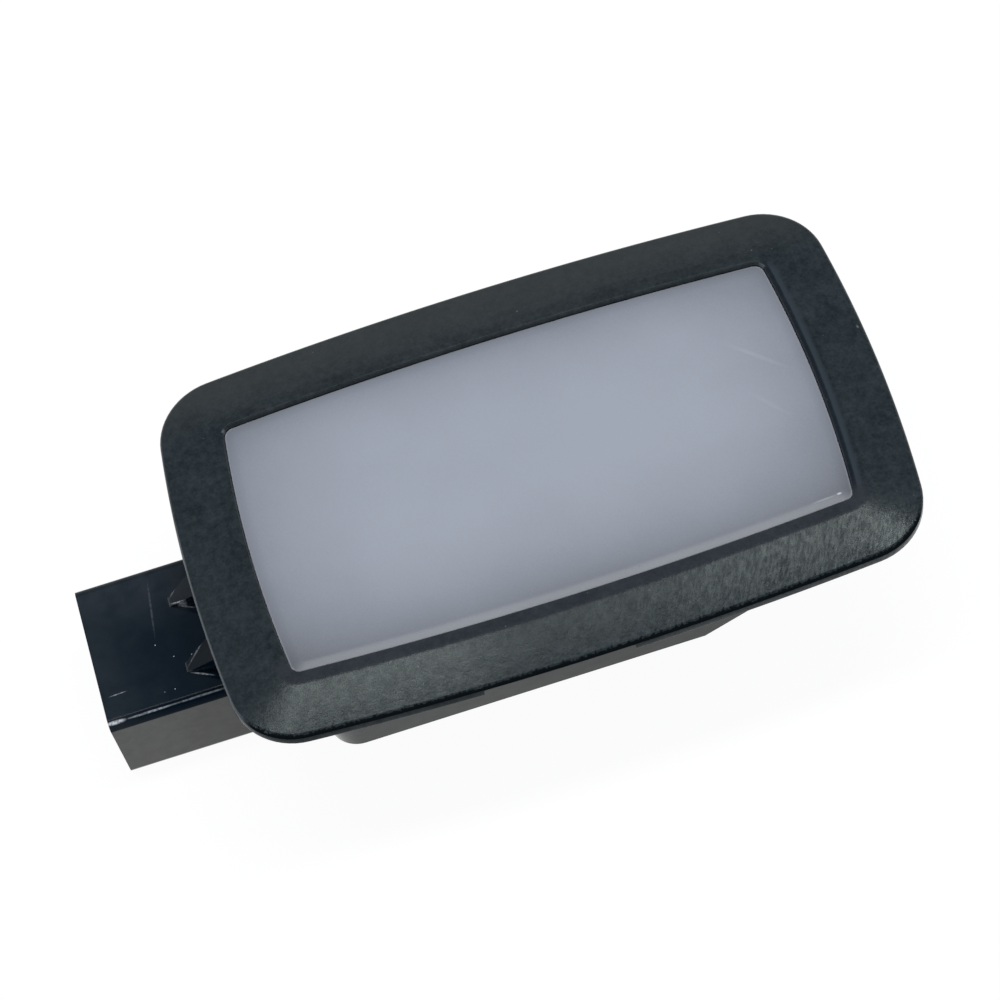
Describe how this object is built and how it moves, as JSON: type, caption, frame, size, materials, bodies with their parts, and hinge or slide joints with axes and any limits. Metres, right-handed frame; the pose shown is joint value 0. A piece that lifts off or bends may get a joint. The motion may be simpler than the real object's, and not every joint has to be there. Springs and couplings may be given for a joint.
{
  "type": "car dome light",
  "caption": "Car dome light with a pillow-shaped black bezel, a frosted lens, a deep tapered housing and a blade connector socket on its end.",
  "frame": {"origin": "under the middle of the lens opening, on the flat back of the housing", "axes": "+Z out of the lens, +X along the lamp away from the connector, whose mouth faces -X; +Y across the lamp, with the removal notch on the -Y side"},
  "size_m": [0.0936, 0.049, 0.025],
  "materials": {
    "bezel": "black moulding with a fine matt grain",
    "lens": "frosted translucent moulding with a smooth face",
    "rear_housing": "black moulding, smooth and slightly glossy",
    "reflector": "bright white moulding",
    "circuit_board": "green solder mask on laminate",
    "led_package": "yellow phosphor in a white package",
    "chip_part": "dull black moulding with tinned ends",
    "capacitor": "tan ceramic with tinned ends",
    "terminal": "tinned brass",
    "screw": "zinc-plated steel",
    "spring_steel": "bright rolled spring steel"
  },
  "bodies": {
    "root": {"bezel": "bezel", "lens": "lens", "rear_housing": "rear_housing", "reflector": "reflector", "circuit_board": "circuit_board", "led_1": "led_package", "led_2": "led_package", "led_3": "led_package", "led_4": "led_package", "led_5": "led_package", "led_6": "led_package", "driver_chip": "chip_part", "protection_diode": "chip_part", "capacitor": "capacitor", "resistor_1": "chip_part", "resistor_2": "chip_part", "terminal_supply": "terminal", "terminal_switched": "terminal", "terminal_ground": "terminal", "board_screw_left": "screw", "board_screw_right": "screw", "spring_clip_front": "spring_steel", "spring_clip_back": "spring_steel"}
  },
  "joints": []
}
